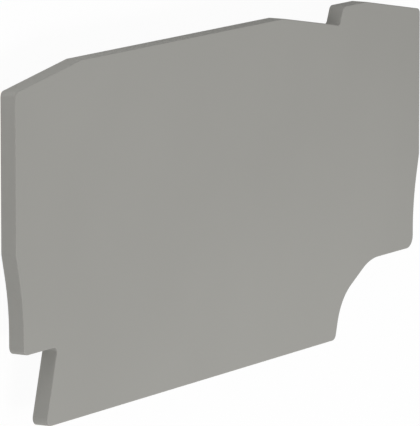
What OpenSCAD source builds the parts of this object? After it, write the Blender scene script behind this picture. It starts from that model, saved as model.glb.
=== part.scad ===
// Terminal block end cover: a flat moulded plate that closes the open side of the last block on a rail.
// It lies with its plain outer face up (+Z) and its pegs down. X runs along the plate, Y from the rail
// edge to the top edge. The origin is under the middle of the plate, level with the tips of the pegs.

/* [Plate] */
// Length of the plate
plate_length = 71; // [56:0.5:84]
// Height from the rail edge to the top edge
plate_height = 31.2; // [28:0.1:38]
// Thickness of the plate
plate_thickness = 1.5; // [1:0.1:2.5]
// Radius of the rounded edge around the outer face
edge_radius = 0.08; // [0.05:0.01:0.2]

/* [Top edge] */
// Length of each sloping shoulder, and of the slope that runs down to the step
shoulder_run = 10.5; // [7:0.1:13]
// Drop of each shoulder, and of the step, below the top edge
shoulder_drop = 1.7; // [1.2:0.1:2.4]
// Radius of the corner under each shoulder
shoulder_radius = 0.5; // [0.3:0.05:0.8]
// Distance from the right side to the foot of the step
step_from_side = 15.4; // [14.5:0.1:18]
// Lean of the step away from upright, in degrees
step_lean = 22.5; // [10:0.5:30]
// Radius of the step's top corner
step_radius = 0.6; // [0.3:0.05:0.8]
// Radius where the slope meets the foot of the step
step_foot_radius = 0.5; // [0.2:0.05:0.6]

/* [Sides] */
// Height of the waist, where the sides start to step in, above the rail edge
waist_height = 15.6; // [14.5:0.1:18]
// How far each side steps in below the waist
side_inset = 1.15; // [0.9:0.05:1.5]
// Lean of each side just below the waist, in degrees
waist_lean = 14.2; // [12:0.2:18]
// Radius that blends the leaning side into the upright one
side_blend_radius = 21; // [8:0.5:22]
// Radius of the slight bends in the outline
bend_radius = 1; // [0.5:0.1:2]
// Height of the ears' undersides above the rail edge
ear_height = 6.75; // [6:0.05:7.4]
// Radius of the left ear's lower corner
left_ear_radius = 0.7; // [0.3:0.05:0.9]
// Radius of the right ear's lower corner
right_ear_radius = 1.15; // [0.5:0.05:1.4]

/* [Foot] */
// Distance from the left side to the foot
foot_from_side = 4.6; // [3.5:0.1:6]
// Distance from the right side to the foot, which leaves room for the latch recess and the right ear
foot_from_right_side = 16.1; // [14.5:0.1:20]
// Lean of the foot's two ends, in degrees
foot_lean = 16; // [10:0.2:20]
// Radius of the foot's two lower corners
foot_radius = 0.65; // [0.3:0.05:0.8]
// Radius in the corner between the left ear and the foot
notch_radius = 0.4; // [0.1:0.05:0.6]
// Length of the latch recess beside the foot, from the foot's corner to the ear
latch_run = 6.6; // [6:0.1:7.5]
// Rise of the latch recess's upper flank, in degrees above level
latch_rise = 28.8; // [26:0.2:32]
// Radius of the latch recess
latch_radius = 5.2; // [4:0.1:5.6]
// Radius that blends the latch recess into the right ear's underside
latch_blend_radius = 6.2; // [3:0.1:6.5]

/* [Pegs] */
// Diameter of the pegs that plug into the block's housing
peg_diameter = 2.5; // [1.5:0.1:3.5]
// Length of the pegs below the inner face
peg_length = 2.2; // [1.5:0.1:4]
// Lead-in chamfer at each peg's tip
peg_chamfer = 0.3; // [0.1:0.05:0.5]
// Distance of the upper pegs from the sides
upper_peg_inset = 7.5; // [5:0.5:12]
// Distance of the upper pegs from the top edge
upper_peg_drop = 7; // [5:0.5:9]
// Distance of the lower pegs from the sides
lower_peg_inset = 14; // [12:0.5:18]
// Distance of the lower pegs above the ears' undersides
lower_peg_rise = 4; // [2.5:0.5:6]

/* [Hidden] */
$fn = 64;

// Greatest gap between a true arc and the short straights that stand for it
arc_gap = 0.003;
// Number of flats in the rounded edge around the outer face
edge_bands = 3;

foot_corner_x = plate_length - foot_from_right_side;
notch_x = foot_from_side + ear_height * tan(foot_lean);
side_x = plate_length - side_inset;
side_bend_height = waist_height - side_inset / tan(waist_lean);
shoulder_height = plate_height - shoulder_drop;
step_foot_x = plate_length - step_from_side;
step_top_x = step_foot_x + shoulder_drop * tan(step_lean);

// The blend in each side takes at most this share of the upright wall between the ear and the bend
blend_share = 0.95;
upright_side = side_bend_height - ear_height - max(left_ear_radius, right_ear_radius);
side_blend = min(side_blend_radius, blend_share * upright_side / tan(waist_lean / 2));

// Corner where the foot's leaning end would meet the latch recess's upper flank
latch_height = (ear_height - latch_run * tan(latch_rise)) / (1 - tan(foot_lean) * tan(latch_rise));
latch_x = foot_corner_x + latch_height * tan(foot_lean);

// Corners of the outline, anticlockwise from the foot's left corner, each as [x, y, radius]
corners = [
    [foot_from_side, 0, foot_radius],
    [foot_corner_x, 0, foot_radius],
    [latch_x, latch_height, latch_radius],
    [foot_corner_x + latch_run, ear_height, latch_blend_radius],
    [side_x, ear_height, right_ear_radius],
    [side_x, side_bend_height, side_blend],
    [plate_length, waist_height, bend_radius],
    [plate_length, shoulder_height, shoulder_radius],
    [plate_length - shoulder_run, plate_height, bend_radius],
    [step_top_x, plate_height, step_radius],
    [step_foot_x, shoulder_height, step_foot_radius],
    [step_foot_x - shoulder_run, plate_height, bend_radius],
    [shoulder_run, plate_height, bend_radius],
    [0, shoulder_height, shoulder_radius],
    [0, waist_height, bend_radius],
    [side_inset, side_bend_height, side_blend],
    [side_inset, ear_height, left_ear_radius],
    [notch_x, ear_height, notch_radius],
];

function unit(v) = v / norm(v);
function heading(v) = atan2(v[1], v[0]);
function corner(i) = corners[(i + len(corners)) % len(corners)];
function corner_point(i) = [corner(i)[0], corner(i)[1]];

// Points of one rounded corner when the whole outline is moved in by inset
function corner_arc(i, inset) =
    let (
        point = corner_point(i),
        radius = corner(i)[2],
        back = unit(corner_point(i - 1) - point),
        ahead = unit(corner_point(i + 1) - point),
        half_angle = acos(back * ahead) / 2,
        centre = point + unit(back + ahead) * radius / sin(half_angle),
        side = cross(ahead, back) > 0 ? 1 : -1,
        start = heading(back * radius / tan(half_angle) + point - centre),
        turn = side * (180 - 2 * half_angle),
        pieces = ceil(abs(turn) / (2 * acos(1 - arc_gap / radius)))
    )
    [for (k = [0:pieces])
        let (angle = start + turn * k / pieces)
        centre + (radius - side * inset) * [cos(angle), sin(angle)]];

function outline(inset) = [for (i = [0:len(corners) - 1]) each corner_arc(i, inset)];

// Section of the cutter that rounds the outer face's edge, each corner as [inset, height]. Its first and
// last flats run past the plate's wall and outer face.
band = 90 / edge_bands;
reach = 0.02;
function edge_arc(angle) =
    [edge_radius * (1 - cos(angle)), plate_thickness - edge_radius * (1 - sin(angle))];
cutter_section = concat(
    [edge_arc(0) - [reach, reach / tan(band / 2)]],
    [for (k = [1:edge_bands - 1]) edge_arc(k * band)],
    [edge_arc(90) + [reach / tan(band / 2), reach]],
    [[-2 * reach, plate_thickness + 2 * reach]]
);

module edge_cutter() {
    sides = len(cutter_section);
    ring_size = len(outline(0));
    points = [for (s = cutter_section) each [for (p = outline(s[0])) [p[0], p[1], s[1]]]];
    faces = [for (s = [0:sides - 1], k = [0:ring_size - 1])
        let (next = (k + 1) % ring_size, from = s * ring_size, to = (s + 1) % sides * ring_size)
        [from + k, from + next, to + next, to + k]];
    polyhedron(points, faces);
}

module plate() {
    difference() {
        linear_extrude(plate_thickness) polygon(outline(0));
        edge_cutter();
    }
}

module peg() {
    radius = peg_diameter / 2;
    seat = peg_length + plate_thickness / 2;
    rotate_extrude()
        polygon([[0, 0], [radius - peg_chamfer, 0], [radius, peg_chamfer], [radius, seat], [0, seat]]);
}

module peg_pair(inset, height) {
    for (x = [inset, plate_length - inset]) translate([x, height]) peg();
}

module end_cover() {
    color([0.60, 0.60, 0.58])
        translate([-plate_length / 2, -plate_height / 2]) {
            translate([0, 0, peg_length]) plate();
            peg_pair(upper_peg_inset, plate_height - upper_peg_drop);
            peg_pair(lower_peg_inset, ear_height + lower_peg_rise);
        }
}

end_cover();
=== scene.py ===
import math

import bpy
from mathutils import Matrix, Vector


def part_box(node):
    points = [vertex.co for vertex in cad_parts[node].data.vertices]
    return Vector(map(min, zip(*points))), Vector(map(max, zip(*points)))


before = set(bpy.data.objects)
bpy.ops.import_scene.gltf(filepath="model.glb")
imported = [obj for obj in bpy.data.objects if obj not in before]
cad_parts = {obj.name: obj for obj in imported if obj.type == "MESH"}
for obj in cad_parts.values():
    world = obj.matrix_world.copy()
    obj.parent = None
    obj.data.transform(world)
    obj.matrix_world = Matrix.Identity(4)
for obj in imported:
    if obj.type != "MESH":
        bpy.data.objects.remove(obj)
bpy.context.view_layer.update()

NODE = "end_cover"
MM = 0.001

# Camera: how far it stands off, where on the outer face it aims from the face's middle, how far it is
# turned past the left side and how far it looks over the top edge
CAMERA_DISTANCE = 0.5103
CAMERA_AIM = (-3.44 * MM, -0.575 * MM)
CAMERA_TURN = math.radians(59.165)
CAMERA_LIFT = math.radians(8.786)
CAMERA_LENS = 481.5
CAMERA_NEAR = 0.01
SENSOR = 36.0

# Floor and world. The white share is how much of the floor is plain white to the camera, and the rest of
# it takes the shadow. A glow of 1 is white.
FLOOR_SIZE = 3.0
FLOOR_COLOUR = (0.80, 0.80, 0.80, 1)
FLOOR_WHITE_SHARE = 0.96
WHITE_GLOW = 1
WORLD_COLOUR = (1.0, 1.0, 1.0, 1)
WORLD_STRENGTH = 0.43

# Lamps: name, azimuth from +X and height above the floor in degrees, distance from the cover and size in
# metres, power in watts. All of them aim at the cover. The two near ones lighten the outer face towards
# the foot and the left shoulder, as in the photo.
LAMPS = [
    ("left", 180, 15, 0.90, 0.30, 1.2),
    ("front_left", -130, 15, 0.90, 0.30, 0.5),
    ("near_front", -90, 60, 0.20, 0.08, 0.23),
    ("near_shoulder", 130, 10, 0.075, 0.03, 0.0062),
]

# Plastic: the cloudy tone goes this share to each side of the colour, between two values of its noise.
# The grain is the fine mould texture. It moves the roughness between two values and drives the bump.
PLASTIC_COLOUR = (0.330, 0.326, 0.306)
SPECULAR_LEVEL = 0.05
CLOUD_SHARE = 0.015
CLOUD_SCALE = 60
CLOUD_DETAIL = 3
CLOUD_LOW, CLOUD_HIGH = 0.3, 0.7
GRAIN_SCALE = 9000
GRAIN_DETAIL = 2
SMOOTHEST, ROUGHEST = 0.70, 0.80
BUMP_STRENGTH = 0.04
BUMP_DISTANCE = 0.01 * MM
SOFT_EDGE_RADIUS = 0.05 * MM
SOFT_EDGE_SAMPLES = 8


def new_material(name):
    """A material with an empty node tree, and two helpers that add a node and link two sockets."""
    material = bpy.data.materials.new(name)
    material.use_nodes = True
    tree = material.node_tree
    tree.nodes.clear()
    return material, tree.nodes.new, tree.links.new


def plastic_material():
    """Grey moulded polyamide: a faint cloudy tone, a fine mould texture and softly broken edges."""
    material, add, link = new_material("moulded_plastic")
    place = add("ShaderNodeTexCoord")
    out = add("ShaderNodeOutputMaterial")
    shader = add("ShaderNodeBsdfPrincipled")
    shader.inputs["Specular IOR Level"].default_value = SPECULAR_LEVEL
    link(shader.outputs["BSDF"], out.inputs["Surface"])

    cloud = add("ShaderNodeTexNoise")
    cloud.inputs["Scale"].default_value = CLOUD_SCALE
    cloud.inputs["Detail"].default_value = CLOUD_DETAIL
    link(place.outputs["Object"], cloud.inputs["Vector"])
    tone = add("ShaderNodeValToRGB")
    dark, light = tone.color_ramp.elements
    dark.color = [c * (1 - CLOUD_SHARE) for c in PLASTIC_COLOUR] + [1]
    light.color = [c * (1 + CLOUD_SHARE) for c in PLASTIC_COLOUR] + [1]
    dark.position, light.position = CLOUD_LOW, CLOUD_HIGH
    link(cloud.outputs["Fac"], tone.inputs["Fac"])
    link(tone.outputs["Color"], shader.inputs["Base Color"])

    grain = add("ShaderNodeTexNoise")
    grain.inputs["Scale"].default_value = GRAIN_SCALE
    grain.inputs["Detail"].default_value = GRAIN_DETAIL
    link(place.outputs["Object"], grain.inputs["Vector"])
    gloss = add("ShaderNodeMapRange")
    gloss.inputs["To Min"].default_value = SMOOTHEST
    gloss.inputs["To Max"].default_value = ROUGHEST
    link(grain.outputs["Fac"], gloss.inputs["Value"])
    link(gloss.outputs["Result"], shader.inputs["Roughness"])

    soft_edges = add("ShaderNodeBevel")
    soft_edges.samples = SOFT_EDGE_SAMPLES
    soft_edges.inputs["Radius"].default_value = SOFT_EDGE_RADIUS
    bump = add("ShaderNodeBump")
    bump.inputs["Strength"].default_value = BUMP_STRENGTH
    bump.inputs["Distance"].default_value = BUMP_DISTANCE
    link(grain.outputs["Fac"], bump.inputs["Height"])
    link(soft_edges.outputs["Normal"], bump.inputs["Normal"])
    link(bump.outputs["Normal"], shader.inputs["Normal"])
    return material


def background_rays(add, link):
    """A socket that is 1 for camera, glossy and transmission rays, and 0 for the rays that carry light."""
    rays = add("ShaderNodeLightPath")
    socket = rays.outputs["Is Camera Ray"]
    for name in ("Is Glossy Ray", "Is Transmission Ray"):
        either = add("ShaderNodeMath")
        either.operation = "MAXIMUM"
        link(socket, either.inputs[0])
        link(rays.outputs[name], either.inputs[1])
        socket = either.outputs[0]
    return socket


def floor_material():
    """Plain white floor that keeps the cover's shadow, and is clear from below."""
    material, add, link = new_material("floor_white")
    out = add("ShaderNodeOutputMaterial")
    matt = add("ShaderNodeBsdfDiffuse")
    matt.inputs["Color"].default_value = FLOOR_COLOUR
    white = add("ShaderNodeEmission")
    white.inputs["Strength"].default_value = WHITE_GLOW
    share = add("ShaderNodeMath")
    share.operation = "MULTIPLY"
    share.inputs[1].default_value = FLOOR_WHITE_SHARE
    link(background_rays(add, link), share.inputs[0])
    upper = add("ShaderNodeMixShader")
    link(share.outputs[0], upper.inputs["Fac"])
    link(matt.outputs["BSDF"], upper.inputs[1])
    link(white.outputs["Emission"], upper.inputs[2])
    side = add("ShaderNodeNewGeometry")
    clear = add("ShaderNodeBsdfTransparent")
    floor = add("ShaderNodeMixShader")
    link(side.outputs["Backfacing"], floor.inputs["Fac"])
    link(upper.outputs["Shader"], floor.inputs[1])
    link(clear.outputs["BSDF"], floor.inputs[2])
    link(floor.outputs["Shader"], out.inputs["Surface"])
    return material


def make_camera():
    """A long-lens camera that looks at the outer face from past its left side."""
    turn_sin, turn_cos = math.sin(CAMERA_TURN), math.cos(CAMERA_TURN)
    lift_sin, lift_cos = math.sin(CAMERA_LIFT), math.cos(CAMERA_LIFT)
    right = Vector((turn_cos, 0, turn_sin))
    back = Vector((-turn_sin * lift_cos, lift_sin, turn_cos * lift_cos))
    up = back.cross(right)
    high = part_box(NODE)[1]
    aim = Vector((CAMERA_AIM[0], CAMERA_AIM[1], high.z))
    data = bpy.data.cameras.new("camera")
    data.lens = CAMERA_LENS
    data.sensor_width = SENSOR
    data.clip_start = CAMERA_NEAR
    camera = bpy.data.objects.new("camera", data)
    turned = Matrix((right, up, back)).transposed().to_4x4()
    camera.matrix_world = Matrix.Translation(aim + back * CAMERA_DISTANCE) @ turned
    bpy.context.scene.collection.objects.link(camera)
    bpy.context.scene.camera = camera


def make_floor():
    """A square floor under the tips of the pegs."""
    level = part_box(NODE)[0].z
    half = FLOOR_SIZE / 2
    mesh = bpy.data.meshes.new("floor")
    corners = [(x, y, level) for x, y in ((-half, -half), (half, -half), (half, half), (-half, half))]
    mesh.from_pydata(corners, [], [(0, 1, 2, 3)])
    mesh.materials.append(floor_material())
    floor = bpy.data.objects.new("floor", mesh)
    bpy.context.scene.collection.objects.link(floor)


def make_lamps():
    """Soft round lamps that stand around the cover, aim at its middle and are not seen themselves."""
    for name, azimuth, height, distance, size, power in LAMPS:
        azimuth, height = math.radians(azimuth), math.radians(height)
        level = math.cos(height)
        way = Vector((level * math.cos(azimuth), level * math.sin(azimuth), math.sin(height)))
        data = bpy.data.lights.new(name, "AREA")
        data.shape = "DISK"
        data.size = size
        data.energy = power
        lamp = bpy.data.objects.new(name, data)
        lamp.location = way * distance
        lamp.rotation_mode = "QUATERNION"
        lamp.rotation_quaternion = (-way).to_track_quat("-Z", "Y")
        lamp.visible_camera = False
        bpy.context.scene.collection.objects.link(lamp)


def make_world():
    """Plain light from all round, which the camera and the gloss see as white."""
    world = bpy.data.worlds.new("studio")
    world.use_nodes = True
    tree = world.node_tree
    light = tree.nodes["Background"]
    light.inputs["Color"].default_value = WORLD_COLOUR
    light.inputs["Strength"].default_value = WORLD_STRENGTH
    white = tree.nodes.new("ShaderNodeBackground")
    white.inputs["Color"].default_value = WORLD_COLOUR
    white.inputs["Strength"].default_value = WHITE_GLOW
    mix = tree.nodes.new("ShaderNodeMixShader")
    tree.links.new(background_rays(tree.nodes.new, tree.links.new), mix.inputs["Fac"])
    tree.links.new(light.outputs["Background"], mix.inputs[1])
    tree.links.new(white.outputs["Background"], mix.inputs[2])
    tree.links.new(mix.outputs["Shader"], tree.nodes["World Output"].inputs["Surface"])
    bpy.context.scene.world = world


make_camera()
make_world()
make_lamps()
make_floor()

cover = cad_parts[NODE]
cover.material_slots[0].material = plastic_material()

bpy.context.scene.view_settings.view_transform = "Standard"
